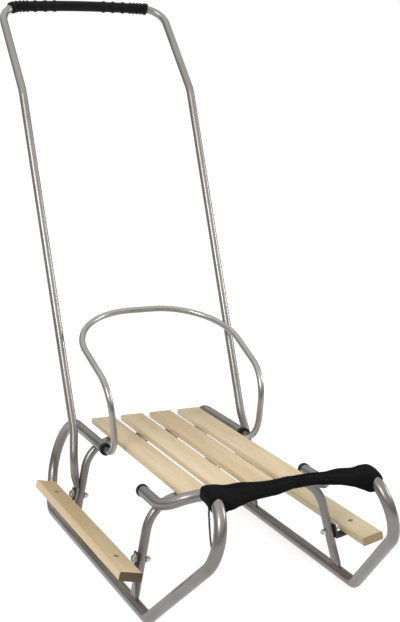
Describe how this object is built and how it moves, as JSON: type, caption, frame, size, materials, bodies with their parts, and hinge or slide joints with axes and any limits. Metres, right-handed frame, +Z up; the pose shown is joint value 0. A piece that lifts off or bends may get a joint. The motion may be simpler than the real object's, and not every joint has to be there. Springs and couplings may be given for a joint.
{
  "type": "wooden toboggan",
  "caption": "Toboggan with bent tube runners, wooden seat slats and foot boards, a hoop backrest and a tall push handle that lifts off.",
  "frame": {"origin": "centre of the bounding box's bottom face, on the ground", "axes": "-Y is the front, where the runners curl up, +Z is up, +X is the rider's left"},
  "size_m": [0.4834, 1.122, 1.0334],
  "materials": {
    "sled_steel": "satin",
    "handle_steel": "satin",
    "rod_steel": "satin",
    "seat_wood": "clear lacquer",
    "board_wood": "clear lacquer",
    "black_cap": "satin",
    "zinc_screw": "zinc plated",
    "dark_bracket": "satin",
    "black_cloth": "woven",
    "black_cord": "braided",
    "black_grip": "moulded"
  },
  "bodies": {
    "sled": {"left_runner_tube": "sled_steel", "right_runner_tube": "sled_steel", "front_arch": "sled_steel", "rear_arch": "sled_steel", "bumper_bar": "sled_steel", "bumper_end_caps": "black_cap", "curl_end_plugs": "black_cap", "hoop_bushings": "black_cap", "handle_sockets": "sled_steel", "seat_slat_1": "seat_wood", "seat_slat_2": "seat_wood", "seat_slat_3": "seat_wood", "seat_slat_4": "seat_wood", "slat_screws": "zinc_screw", "left_foot_board": "board_wood", "right_foot_board": "board_wood", "foot_board_brackets": "dark_bracket", "bracket_bolts": "zinc_screw", "bracket_washers": "zinc_screw", "bracket_nuts": "zinc_screw", "board_screws": "zinc_screw", "board_nuts": "zinc_screw", "front_strap": "black_cloth", "strap_tie_cord": "black_cord"},
    "backrest": {"backrest_hoop": "rod_steel"},
    "handle": {"push_handle": "handle_steel", "handle_grip": "black_grip"}
  },
  "joints": [
    {"name": "hoop_pull", "type": "slide", "parent": "sled", "child": "backrest", "axis": [0, -1, 0], "range_m": [0, 0.06]},
    {"name": "handle_lift", "type": "slide", "parent": "sled", "child": "handle", "axis": [0, 0.1478, 0.989], "range_m": [0, 0.05]}
  ]
}
